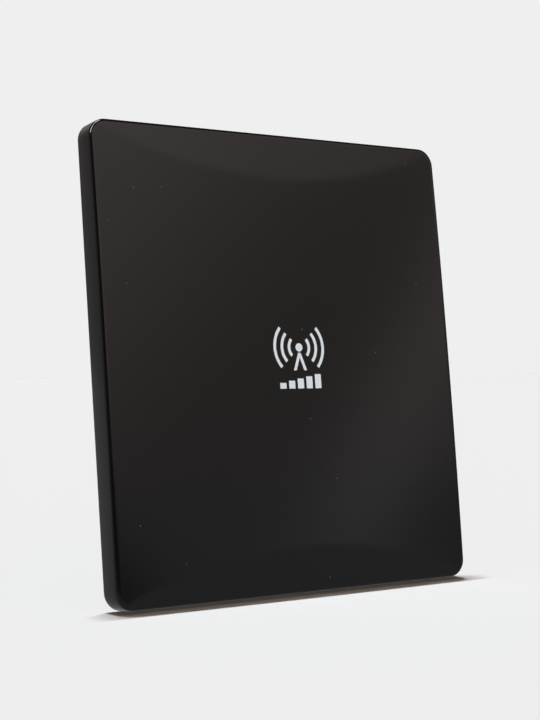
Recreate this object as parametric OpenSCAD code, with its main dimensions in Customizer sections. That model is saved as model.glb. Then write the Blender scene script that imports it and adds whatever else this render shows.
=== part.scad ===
// Flat television antenna panel, leaning back on a fold-out rear leg

/* [Panel] */
// Width of the panel
panel_w = 219; // [190:1:260]
// Height of the panel along its slope
panel_h = 240; // [220:1:280]
// Depth of the side walls, from the rear rim to the corners of the front
rim_depth = 12.7; // [12:0.1:18]
// Radius of the four corners seen from the front
corner_r = 9.5; // [8:0.5:22]
// Radius of the edge between the side walls and the front
edge_r = 1.5; // [1:0.1:3]
// Lean of the panel, back from upright, in degrees
lean = 6.9; // [4:0.1:9]

/* [Front cover] */
// Rise of the domed front at the middle of each side edge
edge_bow = 1.4; // [0.5:0.1:2.5]
// Depth of the sloped facets at the middle of the top and bottom edges
facet_h = 24; // [16:1:34]
// Thickness of the front wall
front_wall = 2.2; // [1.6:0.1:2.6]
// Thickness of the side walls
side_wall = 2.4; // [2:0.1:3]
// Thickness of the side walls behind the gasket ledge
rim_wall = 1.2; // [0.8:0.1:1.6]
// Depth of the gasket ledge below the rear rim
ledge_depth = 5.4; // [4.8:0.1:6.4]

/* [Rear cover] */
// How far the rear cover lies inside the rear rim
cover_inset = 0.4; // [0.2:0.1:1]
// Thickness of the rear cover
plate_t = 2; // [1.6:0.1:2.4]
// Thickness of the skirt round the rear cover
skirt_t = 1.6; // [1.2:0.1:2]
// Gap between the rear cover and the rim
cover_gap = 0.15; // [0.1:0.05:0.3]
// Thickness of the pressed gasket
gasket_t = 1; // [0.8:0.1:1.4]
// Height of the stiffening ribs
rib_h = 1.8; // [1:0.1:2.2]
// Thickness of the stiffening ribs
rib_t = 1.2; // [0.8:0.1:1.8]
// Distance of the upright ribs from the middle
rib_x = 64; // [60:1:80]
// Distance of the lowest rib below the middle
rib_down = 62; // [50:1:80]

/* [Cover screws] */
// Distance of the screws from the side edges
screw_margin = 14; // [12:0.5:18]
// Distance of the outer screws from the top and bottom edges
screw_end = 16; // [14:0.5:24]
// Diameter of the screw core
screw_d = 2.6; // [2:0.1:3]
// Diameter of the screw head
screw_head_d = 5.6; // [5:0.1:6.2]
// Height of the screw head
screw_head_h = 2; // [1.4:0.1:2.4]
// Length of the screw below its head
screw_len = 6.4; // [5.4:0.1:6.8]
// Diameter of the screw bosses
boss_d = 8; // [7:0.1:9]
// Depth of the joint between the two covers' bosses
boss_joint = 6.5; // [6:0.1:7]

/* [Small screws] */
// Diameter of the small screws' core
small_screw_d = 2; // [1.6:0.1:2.4]
// Diameter of the small screws' heads
small_head_d = 4.2; // [3.6:0.1:4.6]
// Height of the small screws' heads
small_head_h = 1.2; // [0.8:0.1:1.4]
// Length of the feed and board screws below their heads
small_screw_len = 4.2; // [3.6:0.1:4.6]
// Length of the bracket's screws below their heads
bracket_screw_len = 6; // [5:0.1:6.6]
// Diameter of the posts that take small screws and pegs
small_post_d = 6; // [5:0.1:7]

/* [Radiating plates] */
// Thickness of the stamped plates
element_t = 0.8; // [0.5:0.1:1]
// Depth of the plates' rear faces below the rear rim
element_depth = 8.6; // [8.4:0.1:9]
// Distance of the plates' outer edges from the middle
element_reach = 86; // [76:1:92]
// Height of the plates at their outer edges
element_outer_h = 140; // [100:1:170]
// Height of the plates at the feed point
element_inner_h = 22; // [16:1:30]
// Gap between the two plates
element_gap = 6; // [4:0.5:10]
// Size of the square window in each plate
element_window = 20; // [16:1:23]
// Width of the tuning slots in the plates
slot_w = 3; // [2:0.5:5]
// Depth of the tuning slots
slot_depth = 14; // [8:1:20]
// Distance of the tuning slots from the middle
slot_z = 14; // [10:1:24]
// Cut corners of the plates
element_chamfer = 8; // [4:1:14]

/* [Amplifier] */
// Width of the circuit board
board_w = 80; // [78:1:84]
// Height of the circuit board
board_h = 34; // [32:1:40]
// Thickness of the circuit board
board_t = 1.6; // [1:0.1:1.8]
// Distance of each feed screw from the middle
feed_x = 9; // [8:0.5:12]
// Width of the shielding can
can_w = 22; // [20:1:24]
// Height of the shielding can
can_h = 28; // [24:1:30]
// How far the shielding can stands off the board
can_depth = 3.4; // [2.8:0.1:3.6]
// Thickness of the tinplate
can_t = 0.3; // [0.2:0.1:0.5]

/* [Connector] */
// Distance of the connector from the middle
socket_x = 48; // [46:0.5:50]
// Outer diameter of the thread
thread_d = 9.52; // [9.3:0.01:9.6]
// Core diameter of the thread
neck_d = 8.7; // [8.4:0.1:8.8]
// Length of the barrel behind the rear rim
barrel_out = 10.5; // [9:0.1:14]
// Diameter of the bore for the insulator
socket_bore = 6.2; // [5.4:0.1:7]
// Width of the nut across its flats
nut_af = 13; // [12:0.5:15]
// Thickness of the nut
nut_t = 2.2; // [1.8:0.1:3]
// Thickness of the washer
washer_t = 0.8; // [0.5:0.1:1.2]

/* [Bracket inserts] */
// Side of the square on which the four inserts lie
insert_pitch = 50; // [40:1:56]
// Distance of the lower inserts above the bracket's base plate
insert_rise = 4; // [4:0.5:8]
// Outer diameter of an insert
insert_d = 5.6; // [5:0.1:6.4]
// Core diameter of the thread in an insert
insert_bore = 3.3; // [3:0.1:4]
// Length of an insert
insert_len = 6; // [4:0.1:6.2]

/* [Support leg] */
// Height of the hinge above the middle of the panel
hinge_up = 30; // [26:1:38]
// Thickness of the bracket's base plate
bracket_t = 1.8; // [1.4:0.1:2]
// Height of the bracket's base plate
bracket_h = 26; // [22:1:32]
// Width of the bracket's flanges beside the ears
flange_w = 9; // [8:0.5:12]
// Distance of the hinge axis behind the bracket's base plate
hinge_rise = 4; // [3.8:0.1:5]
// Angle between the open leg and the panel
leg_open = 14.9; // [13:0.1:18]
// Width of the leg at its hinge
leg_top_w = 44; // [36:1:50]
// Width of the leg at its foot
leg_foot_w = 64; // [50:1:80]
// Thickness of the leg
leg_t = 3; // [2.4:0.1:3.2]
// Radius of the hinge barrel
barrel_r = 3.2; // [3:0.1:3.6]
// Diameter of the hinge pin
pin_d = 3; // [2:0.1:3.4]
// Thickness of the hinge ears
ear_t = 5; // [4:0.5:8]
// Radius of the rubber foot
pad_r = 2.5; // [2.4:0.1:2.8]
// Height of the rubber foot above its round edge
pad_h = 6; // [4:0.5:10]
// Distance of the rubber foot's ends from the leg's sides
pad_margin = 5; // [3:0.5:10]
// Length of the leg's parallel stretch below its hinge
leg_shoulder = 12; // [8:1:24]
// Distance between the leg's ribs
leg_rib_pitch = 14; // [10:1:16]
// Distance of the leg's ribs from its foot
leg_rib_foot = 28; // [14:1:40]

/* [Clearances] */
// Gap round pressed and seated pieces
seat_gap = 0.03; // [0.02:0.01:0.06]
// Gap round the turning hinge pin
turn_gap = 0.05; // [0.03:0.01:0.09]
// Gap round screws in plain holes
hole_gap = 0.3; // [0.2:0.05:0.5]
// Gap beside and behind the leg
leg_gap = 0.4; // [0.3:0.05:0.8]

/* [Hidden] */
$fn = 64;

// Curvature of the dome, and slope of the flat facets that cut its top and bottom
mid_z = panel_h / 2;
dome_k = 4 * edge_bow / panel_h ^ 2;
crown_depth = rim_depth + dome_k * (panel_w ^ 2 + panel_h ^ 2) / 4;
facet_slope = dome_k * (panel_w ^ 2 / 4 + panel_h * facet_h - facet_h ^ 2) / facet_h;
dome_rings = 6;
dome_r = norm([panel_w, panel_h]) / 2 + corner_r;

// Depths, all measured forward from the rear rim
plate_depth = cover_inset + plate_t;
skirt_depth = ledge_depth - gasket_t;
head_seat = plate_depth + screw_head_h / 2;
element_front = element_depth + element_t;
board_depth = element_depth - board_t;
blind_cap = 1.2;

// Places of the screws and of the pegs that carry the plates
screw_x = panel_w / 2 - screw_margin;
screw_places = [for (side = [-1, 1], z = [screw_end, mid_z, panel_h - screw_end]) [side * screw_x, z]];
peg_spots = [[30, 27], [74, 46]];
peg_places = [for (side = [-1, 1], up = [-1, 1], p = peg_spots) [side * p[0], mid_z + up * p[1]]];
board_left = -20;
board_screw_margin = [5, 4.5];
board_mid_x = board_left + board_w / 2;
board_screw_x = board_left + board_w - board_screw_margin[0];
board_screw_dz = board_h / 2 - board_screw_margin[1];
board_screw_places = [for (up = [-1, 1]) [board_screw_x, mid_z + up * board_screw_dz]];
feed_places = [for (side = [-1, 1]) [side * feed_x, mid_z]];
hinge_z = mid_z + hinge_up;
insert_z = hinge_z + bracket_h / 2 + insert_rise + insert_pitch / 2;
insert_places = [for (side = [-1, 1], up = [-1, 1]) [side, up] * insert_pitch / 2 + [0, insert_z]];
insert_wall = 1.8;
insert_boss_d = insert_d + 2 * insert_wall;
screw_relief = 0.4;
small_hole_end = board_depth + small_screw_len + screw_relief;
peg_d = 2.6;
peg_head_d = 4.4;
peg_head_h = 0.8;

// Parts on the board, in standard sizes
can_x = 27;
part_pitch = 6;
chip_w = 4;
chip_h = 5;
chip_lift = 0.3;
chip_t = 1.3;
lead_pitch = 1.2;
lead_len = 1.4;
lead_w = 0.5;
lead_t = 0.8;
coil_d = 2.6;
coil_bore = 1.8;
coil_len = 4.5;
coil_down = 8.5;
capacitor = [1.3, 2];
capacitor_t = 0.9;
capacitor_up = 9;
balun = [7, 6];
balun_t = 3.6;
balun_bore = 1.6;
balun_bore_x = 1.7;

// Television socket: flange on the board, hexagon, barrel through the rear cover
contact_d = 1.5;
contact_hole_d = 1;
lug_d = 1.2;
lug_spread = 3.8;
lug_end = element_depth + 0.4;
flange_d = 13;
flange_t = 1.2;
hexagon_af = 11;
seal_d = 1;
neck_relief = 0.6;
collar_depth = plate_depth + seal_d;
nut_depth = cover_inset - washer_t;
socket_place = [socket_x, mid_z];
lug_places = [for (x = [-1, 1], z = [-1, 1]) socket_place + lug_spread * [x, z]];

// Hinge and leg, from the lean and the open angle
leg_tilt = leg_open - lean;
bracket_y = bracket_t - cover_inset;
hinge_y = bracket_y + hinge_rise;
ear_x = leg_top_w / 2 + leg_gap;
ear_r = barrel_r + 1.2;
bracket_screw_x = ear_x + ear_t + flange_w / 2;
bracket_screw_margin = 5;
bracket_screw_dz = bracket_h / 2 - bracket_screw_margin;
bracket_corner_r = 3;
bracket_step = 2;
bracket_screw_places = [
    for (side = [-1, 1], up = [-1, 1]) [side * bracket_screw_x, hinge_z + up * bracket_screw_dz]
];
bracket_hole_end = bracket_screw_len - bracket_y + screw_relief;
bracket_boss_end = bracket_hole_end + blind_cap;
hinge_world_y = hinge_y * cos(lean) + hinge_z * sin(lean);
hinge_world_z = hinge_z * cos(lean) - hinge_y * sin(lean);
leg_near = -barrel_r;
leg_mid = leg_near + leg_t / 2;
leg_len = (hinge_world_z + leg_mid * sin(leg_tilt) - pad_r) / cos(leg_tilt);
stop_gap = 0.3;
heel_h = (hinge_rise - stop_gap + leg_near * cos(leg_open)) / sin(leg_open);
pin_len = 2 * (ear_x + ear_t);

// Middle of the whole object from front to back, which is its origin
front_world_y = -(rim_depth + facet_slope * edge_r - edge_r) * cos(lean) + edge_r * sin(lean) - edge_r;
rear_world_y = hinge_world_y + leg_mid * cos(leg_tilt) + leg_len * sin(leg_tilt) + pad_r;
centre_y = (front_world_y + rear_world_y) / 2;

// Depth of the front surface at a point of the panel
function dome_depth(r) = crown_depth - dome_k * r ^ 2;
function facet_depth(z) = rim_depth + facet_slope * min(z, panel_h - z);
function front_depth(p) = min(dome_depth(norm([p[0], p[1] - mid_z])), facet_depth(p[1]));

module panel_frame() {
    translate([0, -centre_y, 0]) rotate([-lean, 0, 0]) children();
}

module leg_frame() {
    translate([0, hinge_world_y - centre_y, hinge_world_z]) rotate([leg_tilt, 0, 0]) children();
}

// Extrudes an outline drawn in x and z from one depth to a greater one
module slab(from, to) {
    translate([0, -from, 0]) rotate([90, 0, 0]) linear_extrude(height = to - from) children();
}

module post(place, d, from, to) {
    translate([place[0], -from, place[1]]) rotate([90, 0, 0]) cylinder(d = d, h = to - from);
}

module at(place) {
    translate([place[0], 0, place[1]]) children();
}

module rounded(w, h, r) {
    square([w - 2 * r, h], center = true);
    square([w, h - 2 * r], center = true);
    for (x = [-1, 1], y = [-1, 1]) translate([x * (w / 2 - r), y * (h / 2 - r)]) circle(r);
}

module panel_outline(inset) {
    translate([0, mid_z]) rounded(panel_w - 2 * inset, panel_h - 2 * inset, corner_r - inset);
}

module panel_ring(inset, t) {
    difference() {
        panel_outline(inset);
        panel_outline(inset + t);
    }
}

// The domed front with its two flat facets, moved inward by inset and open to the rear
module front_form(inset, side_inset, behind) {
    radii = [for (i = [0:dome_rings]) dome_r * (1 - i / dome_rings)];
    intersection() {
        translate([0, 0, mid_z]) rotate([90, 0, 0]) rotate_extrude($fn = 48)
            polygon([[0, -behind], [dome_r, -behind], for (r = radii) [r, dome_depth(r) - inset]]);
        translate([-panel_w, 0, 0]) rotate([90, 0, 90]) linear_extrude(height = 2 * panel_w)
            polygon([
                [behind, 0], [inset - facet_depth(0), 0], [inset - facet_depth(mid_z), mid_z],
                [inset - facet_depth(0), panel_h], [behind, panel_h]
            ]);
        slab(-behind, crown_depth + 1) panel_outline(side_inset);
    }
}

module front_cover() {
    color("#1b1b1d") panel_frame() {
        difference() {
            minkowski() {
                front_form(edge_r, edge_r, 5, $fn = 48);
                sphere(edge_r, $fn = 16);
            }
            slab(-panel_w, 0) square(4 * panel_h, center = true);
            front_form(front_wall, side_wall, 1);
            slab(-1, ledge_depth) panel_outline(rim_wall);
        }
        for (p = screw_places) difference() {
            post(p, boss_d, boss_joint, front_depth(p) - front_wall / 2);
            post(p, screw_d + 2 * seat_gap, boss_joint - 1, head_seat + screw_len + screw_relief);
        }
        for (p = peg_places) {
            post(p, small_post_d, element_front, front_depth(p) - front_wall / 2);
            post(p, peg_d, element_depth, element_front + 0.2);
            post(p, peg_head_d, element_depth - peg_head_h, element_depth);
        }
        for (p = feed_places) difference() {
            post(p, small_post_d, element_front, front_depth(p) - front_wall / 2);
            post(p, small_screw_d + 2 * seat_gap, element_front - 1, small_hole_end);
        }
        for (p = board_screw_places) difference() {
            post(p, small_post_d, element_depth, front_depth(p) - front_wall / 2);
            post(p, small_screw_d + 2 * seat_gap, element_depth - 1, small_hole_end);
        }
    }
}

module rear_cover() {
    rim_inset = rim_wall + cover_gap;
    rib_end = plate_depth + rib_h;
    color("#26262a") panel_frame() difference() {
        union() {
            slab(cover_inset, plate_depth) panel_outline(rim_inset);
            slab(cover_inset, skirt_depth) panel_ring(rim_inset, skirt_t);
            for (p = screw_places) post(p, boss_d + 0.4, plate_depth - 1, boss_joint);
            for (p = insert_places)
                post(p, insert_boss_d, plate_depth - 1, cover_inset + insert_len + blind_cap);
            slab(plate_depth - 0.2, rib_end) {
                for (x = [-1, 1]) translate([x * rib_x, mid_z])
                    square([rib_t, panel_h - 2 * rim_inset - skirt_t], center = true);
                for (z = [mid_z - rib_down, hinge_z, insert_z + insert_pitch / 2]) translate([0, z])
                    square([panel_w - 2 * rim_inset - skirt_t, rib_t], center = true);
            }
            for (p = bracket_screw_places) post(p, small_post_d, plate_depth - 1, bracket_boss_end);
        }
        for (p = screw_places) {
            post(p, screw_head_d + 2 * hole_gap, -1, head_seat);
            post(p, screw_d + 2 * hole_gap, head_seat - 1, boss_joint + 1);
        }
        for (p = insert_places) post(p, insert_d + 2 * seat_gap, -1, cover_inset + insert_len);
        for (p = bracket_screw_places) post(p, small_screw_d + 2 * seat_gap, -1, bracket_hole_end);
        post(socket_place, thread_d + 2 * hole_gap, -1, plate_depth + 1);
    }
}

module cover_gasket() {
    color("#101012") panel_frame() slab(skirt_depth, ledge_depth)
        panel_ring(rim_wall + cover_gap, skirt_t);
}

module driven_screw(place, d, head_d, head_h, seat, len) {
    difference() {
        union() {
            post(place, head_d, seat - head_h, seat);
            post(place, d, seat - head_h / 2, seat + len);
        }
        for (turn = [0, 90])
            translate([place[0], -(seat - head_h), place[1]]) rotate([0, turn, 0])
                cube([head_d * 0.6, head_h, head_d * 0.14], center = true);
    }
}

module cover_screws() {
    color("#8a8d90") panel_frame() for (p = screw_places)
        driven_screw(p, screw_d, screw_head_d, screw_head_h, head_seat, screw_len);
}

// One stamped plate, shaped like a fan, with a window and two tuning slots
module element(side) {
    inner = element_gap / 2;
    cut = element_chamfer;
    panel_frame() slab(element_depth, element_front) translate([0, mid_z]) scale([side, 1]) difference() {
        polygon([
            [inner, -element_inner_h / 2], [feed_x + small_post_d, -element_inner_h / 2],
            [element_reach - cut, -element_outer_h / 2], [element_reach, -element_outer_h / 2 + cut],
            [element_reach, element_outer_h / 2 - cut], [element_reach - cut, element_outer_h / 2],
            [feed_x + small_post_d, element_inner_h / 2], [inner, element_inner_h / 2]
        ]);
        translate([feed_x, 0]) circle(d = small_screw_d + 2 * hole_gap);
        translate([socket_x, 0]) square(element_window, center = true);
        for (up = [-1, 1]) {
            translate([board_screw_x, up * board_screw_dz]) circle(d = small_post_d + 2 * hole_gap);
            translate([element_reach - slot_depth, up * slot_z - slot_w / 2])
                square([slot_depth + 1, slot_w]);
            for (p = peg_spots) translate([p[0], up * p[1]]) circle(d = peg_d + 2 * seat_gap);
        }
    }
}

module left_element() {
    color("#b9bcc0") element(-1);
}

module right_element() {
    color("#b9bcc0") element(1);
}

module feed_screws() {
    color("#c3a75a") panel_frame() for (p = feed_places)
        driven_screw(p, small_screw_d, small_head_d, small_head_h, board_depth, small_screw_len);
}

module board_screws() {
    color("#8a8d90") panel_frame() for (p = board_screw_places)
        driven_screw(p, small_screw_d, small_head_d, small_head_h, board_depth, small_screw_len);
}

module amplifier_board() {
    color("#1f5c3a") panel_frame() difference() {
        slab(board_depth, element_depth) translate([board_mid_x, mid_z]) rounded(board_w, board_h, 2);
        for (p = concat(feed_places, board_screw_places))
            post(p, small_screw_d + 2 * hole_gap, board_depth - 1, element_depth + 1);
        post(socket_place, contact_d + 2 * hole_gap, board_depth - 1, element_depth + 1);
        for (p = lug_places) post(p, lug_d + 2 * seat_gap, board_depth - 1, element_depth + 1);
    }
}

module shield_frame() {
    color("#c9ccd0") panel_frame() slab(board_depth - can_depth, board_depth) translate([can_x, mid_z])
        difference() {
            square([can_w, can_h], center = true);
            square([can_w - 2 * can_t, can_h - 2 * can_t], center = true);
        }
}

module shield_lid() {
    top = board_depth - can_depth;
    inner_w = can_w + 2 * seat_gap;
    inner_h = can_h + 2 * seat_gap;
    color("#d5d7da") panel_frame() translate([can_x, 0, mid_z]) {
        slab(top - can_t, top) square([inner_w + 2 * can_t, inner_h + 2 * can_t], center = true);
        slab(top, top + can_depth / 2) difference() {
            square([inner_w + 2 * can_t, inner_h + 2 * can_t], center = true);
            square([inner_w, inner_h], center = true);
        }
    }
}

module amplifier_chip() {
    color("#151517") panel_frame() translate([can_x, 0, mid_z]) {
        slab(board_depth - chip_lift - chip_t, board_depth - chip_lift)
            square([chip_w, chip_h], center = true);
        for (x = [-1, 1], z = [-1.5:1:1.5])
            translate([0, 0, z * lead_pitch]) slab(board_depth - lead_t, board_depth)
                translate([x * ((chip_w + lead_len) / 2 - 0.1), 0])
                    square([lead_len, lead_w], center = true);
    }
}

module filter_coils() {
    color("#b5722f") panel_frame() for (i = [-1:1])
        translate([can_x + i * part_pitch, coil_d / 2 - board_depth, mid_z - coil_down]) difference() {
            cylinder(d = coil_d, h = coil_len);
            translate([0, 0, -1]) cylinder(d = coil_bore, h = coil_len + 2);
        }
}

module chip_capacitors() {
    color("#a8875c") panel_frame() for (i = [-1:1])
        translate([can_x + i * part_pitch, 0, mid_z + capacitor_up])
            slab(board_depth - capacitor_t, board_depth) square(capacitor, center = true);
}

module balun_core() {
    color("#3a3a3e") panel_frame() at([0, mid_z + capacitor_up]) difference() {
        slab(board_depth - balun_t, board_depth) rounded(balun[0], balun[1], 1);
        for (side = [-1, 1])
            post([side * balun_bore_x, 0], balun_bore, board_depth - balun_t - 1, board_depth + 1);
    }
}

// Flange, hexagon, barrel with a neck inside the nut, and lugs through the board
module connector_body() {
    neck_end = nut_depth - nut_t - neck_relief;
    color("#b8a878") panel_frame() difference() {
        union() {
            post(socket_place, flange_d, board_depth - flange_t, board_depth);
            post(socket_place, hexagon_af / cos(30), collar_depth, board_depth - flange_t + 0.2, $fn = 6);
            post(socket_place, neck_d, -barrel_out, board_depth);
            post(socket_place, thread_d, nut_depth, board_depth);
            post(socket_place, thread_d, -barrel_out, neck_end);
            for (p = lug_places) post(p, lug_d, board_depth - 0.2, lug_end);
        }
        post(socket_place, socket_bore, -barrel_out - 1, board_depth + 0.01);
    }
}

module connector_insulator() {
    color("#ece9df") panel_frame() difference() {
        post(socket_place, socket_bore - 2 * seat_gap, -barrel_out + 0.6, board_depth);
        post(socket_place, contact_d + 2 * seat_gap, -barrel_out - 1, board_depth + 1);
    }
}

module connector_contact() {
    color("#d8b45a") panel_frame() difference() {
        post(socket_place, contact_d, -barrel_out + 1, lug_end);
        post(socket_place, contact_hole_d, -barrel_out - 1, -1);
    }
}

module connector_seal() {
    color("#101012") panel_frame() at(socket_place) translate([0, -plate_depth - seal_d / 2, 0])
        rotate([90, 0, 0]) rotate_extrude() translate([(thread_d + seal_d) / 2 + seat_gap, 0])
            circle(d = seal_d, $fn = 24);
}

module connector_washer() {
    color("#c3c6ca") panel_frame() difference() {
        post(socket_place, nut_af + 2, nut_depth, cover_inset);
        post(socket_place, thread_d + 2 * seat_gap, nut_depth - 1, cover_inset + 1);
    }
}

module connector_nut() {
    color("#b8a878") panel_frame() difference() {
        post(socket_place, nut_af / cos(30), nut_depth - nut_t, nut_depth, $fn = 6);
        post(socket_place, neck_d + 2 * seat_gap, nut_depth - nut_t - 1, nut_depth + 1);
    }
}

module bracket_inserts() {
    color("#c7a24c") panel_frame() for (p = insert_places) difference() {
        post(p, insert_d, cover_inset, cover_inset + insert_len);
        post(p, insert_bore, -1, cover_inset + insert_len + 1);
    }
}

// Base plate with two ears, which the hinge pin goes through
module leg_bracket() {
    bracket_w = 2 * (ear_x + ear_t + flange_w);
    ear_dz = bracket_h / 2 - bracket_step;
    color("#202024") panel_frame() difference() {
        union() {
            slab(-bracket_y, cover_inset) translate([0, hinge_z])
                rounded(bracket_w, bracket_h, bracket_corner_r);
            for (side = [-1, 1]) translate([side * (ear_x + ear_t / 2) - ear_t / 2, 0, 0])
                rotate([90, 0, 90]) linear_extrude(height = ear_t) {
                    translate([hinge_y, hinge_z]) circle(ear_r);
                    polygon([
                        [0, hinge_z - ear_dz], [bracket_y, hinge_z - ear_dz],
                        [hinge_y, hinge_z - ear_r], [hinge_y, hinge_z + ear_r],
                        [bracket_y, hinge_z + ear_dz], [0, hinge_z + ear_dz]
                    ]);
                }
        }
        for (p = bracket_screw_places) post(p, small_screw_d + 2 * hole_gap, -bracket_y - 1, 1);
        translate([-pin_len, hinge_y, hinge_z]) rotate([0, 90, 0])
            cylinder(d = pin_d + 2 * seat_gap, h = 2 * pin_len);
    }
}

module bracket_screws() {
    color("#8a8d90") panel_frame() for (p = bracket_screw_places)
        driven_screw(p, small_screw_d, small_head_d, small_head_h, -bracket_y, bracket_screw_len);
}

module support_leg() {
    foot_z = -leg_len + pad_h - 1;
    tongue_w = leg_foot_w - 2 * pad_margin - 2;
    rib_foot = leg_rib_foot - leg_len;
    color("#202024") leg_frame() difference() {
        union() {
            translate([0, leg_near + leg_t, 0]) rotate([90, 0, 0]) linear_extrude(height = leg_t) {
                polygon([
                    [-leg_top_w / 2, heel_h], [-leg_top_w / 2, -leg_shoulder], [-leg_foot_w / 2, foot_z],
                    [leg_foot_w / 2, foot_z], [leg_top_w / 2, -leg_shoulder], [leg_top_w / 2, heel_h]
                ]);
                translate([-tongue_w / 2, -leg_len]) square([tongue_w, pad_h]);
            }
            translate([-leg_top_w / 2, 0, 0]) rotate([0, 90, 0]) cylinder(r = barrel_r, h = leg_top_w);
            for (x = [-1:1])
                translate([x * leg_rib_pitch - rib_t / 2, leg_near + leg_t - 0.2, rib_foot])
                    cube([rib_t, rib_h, -rib_foot - 2]);
        }
        translate([-leg_top_w, 0, 0]) rotate([0, 90, 0])
            cylinder(d = pin_d + 2 * turn_gap, h = 2 * leg_top_w);
    }
}

module leg_pin() {
    color("#a9acb0") leg_frame() translate([-pin_len / 2, 0, 0]) rotate([0, 90, 0])
        cylinder(d = pin_d, h = pin_len);
}

module leg_pad() {
    pad_w = leg_foot_w - 2 * pad_margin;
    color("#0c0c0d") leg_frame() translate([-pad_w / 2, 0, 0]) rotate([90, 0, 90])
        linear_extrude(height = pad_w) difference() {
            union() {
                translate([leg_mid, -leg_len]) circle(pad_r);
                translate([leg_mid - pad_r, -leg_len]) square([2 * pad_r, pad_h - 1]);
            }
            translate([leg_mid - leg_t / 2 - seat_gap, -leg_len]) square([leg_t + 2 * seat_gap, pad_h]);
        }
}

front_cover();
rear_cover();
cover_gasket();
cover_screws();
left_element();
right_element();
feed_screws();
amplifier_board();
board_screws();
shield_frame();
shield_lid();
amplifier_chip();
filter_coils();
chip_capacitors();
balun_core();
connector_body();
connector_insulator();
connector_contact();
connector_seal();
connector_washer();
connector_nut();
bracket_inserts();
leg_bracket();
bracket_screws();
support_leg();
leg_pin();
leg_pad();
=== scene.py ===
import math

import bmesh
import bpy
from bpy.props import FloatProperty, FloatVectorProperty, IntProperty, PointerProperty
from mathutils import Euler, Matrix, Vector


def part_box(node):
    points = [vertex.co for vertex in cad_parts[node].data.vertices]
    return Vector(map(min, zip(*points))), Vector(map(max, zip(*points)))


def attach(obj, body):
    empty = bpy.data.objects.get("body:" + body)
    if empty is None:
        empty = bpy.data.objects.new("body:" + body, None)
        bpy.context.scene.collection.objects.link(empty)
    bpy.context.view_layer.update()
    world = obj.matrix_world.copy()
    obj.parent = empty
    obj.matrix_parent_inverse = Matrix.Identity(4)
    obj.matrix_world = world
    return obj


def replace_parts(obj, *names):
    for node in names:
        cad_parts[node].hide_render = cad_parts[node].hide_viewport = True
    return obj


bl_info = {
    "name": "Panel Antenna Finish",
    "version": (1, 0, 0),
    "blender": (4, 5, 0),
    "location": "View3D > Sidebar > Antenna",
    "description": "Finishes a flat television antenna panel and sets up its studio",
    "category": "Object",
}

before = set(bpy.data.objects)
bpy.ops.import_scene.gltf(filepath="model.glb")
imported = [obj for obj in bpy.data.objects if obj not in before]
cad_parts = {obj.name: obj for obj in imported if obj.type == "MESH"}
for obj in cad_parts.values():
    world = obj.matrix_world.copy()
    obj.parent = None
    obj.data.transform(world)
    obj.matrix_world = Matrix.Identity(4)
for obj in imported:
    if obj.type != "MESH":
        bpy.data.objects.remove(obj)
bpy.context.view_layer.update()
PANEL_BODY = "panel"
MM = 0.001
PALE = 0.863

# Places inside the front cover, across and up from the panel's middle.
COVER_SCREW_PLACES = [(side * 95.5 * MM, up * 104 * MM) for side in (-1, 1) for up in (-1, 0, 1)]
FEED_SCREW_PLACES = [(side * 9 * MM, 0.0) for side in (-1, 1)]
BOARD_SCREW_PLACES = [(55 * MM, up * 12.5 * MM) for up in (-1, 1)]
PEG_PLACES = [
    (side * x * MM, up * z * MM)
    for side in (-1, 1)
    for up in (-1, 1)
    for x, z in ((30, 27), (74, 46))
]

# Depths inside the front cover, ahead of the rear rim.
COVER_POST_REAR = 6.5 * MM
PLATE_REAR = 8.6 * MM
PLATE_FRONT = 9.4 * MM

# Radius of a screw post's bore as a share of the post's own.
BORE_SHARE = 0.335

MARK_MIDDLE = (5.2 * MM, 6.5 * MM)
MARK_THICKNESS = 0.03 * MM

NICKEL = (0.72, 0.69, 0.63)
SOCKET_THREAD_PITCH = 0.794 * MM

# The room that the polished panel mirrors. Each smooth step goes from one angle in degrees to
# another, and from 0 to 1 where it has no levels of its own. The steps "backdrop" and "rear wall"
# go by how directly a direction leads away from the camera, which is 1 at the most.
FRONT_WALL_LEVEL = 0.35
DARK_ROOM_LEVEL = 0.03
LAMP_MIDDLE = 58.0
BAND_HEIGHT = 10.7
BACKDROP_HEADING = (0.565, 0.825)
ROOM_STEPS = {
    "front wall left edge": (-30.5, -35.5),
    "front wall right edge": (-62.0, -52.0),
    "front wall top": (42.0, 30.0),
    "glow": (11.0, 33.0, 0.0, 0.52),
    "window foot": (18.5, 20.5, 0.0, 0.13),
    "window side": (-35.0, -41.0),
    "upper wall foot": (20.5, 25.0, 0.0, 0.17),
    "upper wall side": (-39.0, -33.0),
    "band": (6.0, 0.5, 0.0, 0.30),
    "band side": (-32.0, -41.0),
    "dim corner side": (-40.0, -43.5, 0.0, 0.14),
    "dim corner top": (6.0, 2.0),
    "left wall side": (66.0, 78.0, 0.0, 0.24),
    "left wall top": (40.0, 25.0),
    "lamp side": (24.0, 14.0, 0.0, 12.0),
    "lamp foot": (30.0, 38.0),
    "overhead lamp": (74.0, 80.0, 0.0, 12.0),
    "backdrop": (0.80, 0.90),
    "backdrop top": (16.0, 8.0),
    "rear wall": (0.52, 0.60),
    "rear wall side": (146.0, 156.0),
    "rear wall height": (8.0, 34.0, 0.12, 0.55),
}
WARMTH_STEP = (-2.0, 12.0)
LOW_TINT = (0.96, 0.97, 1.06)
HIGH_TINT = (1.08, 0.965, 0.935)
FILL_TINT = (1.5, 1.0, 0.6)
TOP_LIGHT_TINT = (0.96, 1.0, 1.032)
FRONT_LIGHT_TINT = (1.03, 1.0, 0.96)
# Glow of the floor as the panel mirrors it: a painted reflection, neither lit nor shadowed.
PAINTED_FLOOR_REFLECTION = (0.325, 0.32, 0.335)
FLOOR_HALF = 6.0
LIGHT_DISTANCE = 60.0


def length(name, words, value):
    return FloatProperty(
        name=name, description=words, default=value, min=0.0, unit="LENGTH", precision=5
    )


def number(name, words, value):
    return FloatProperty(name=name, description=words, default=value, min=0.0)


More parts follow.
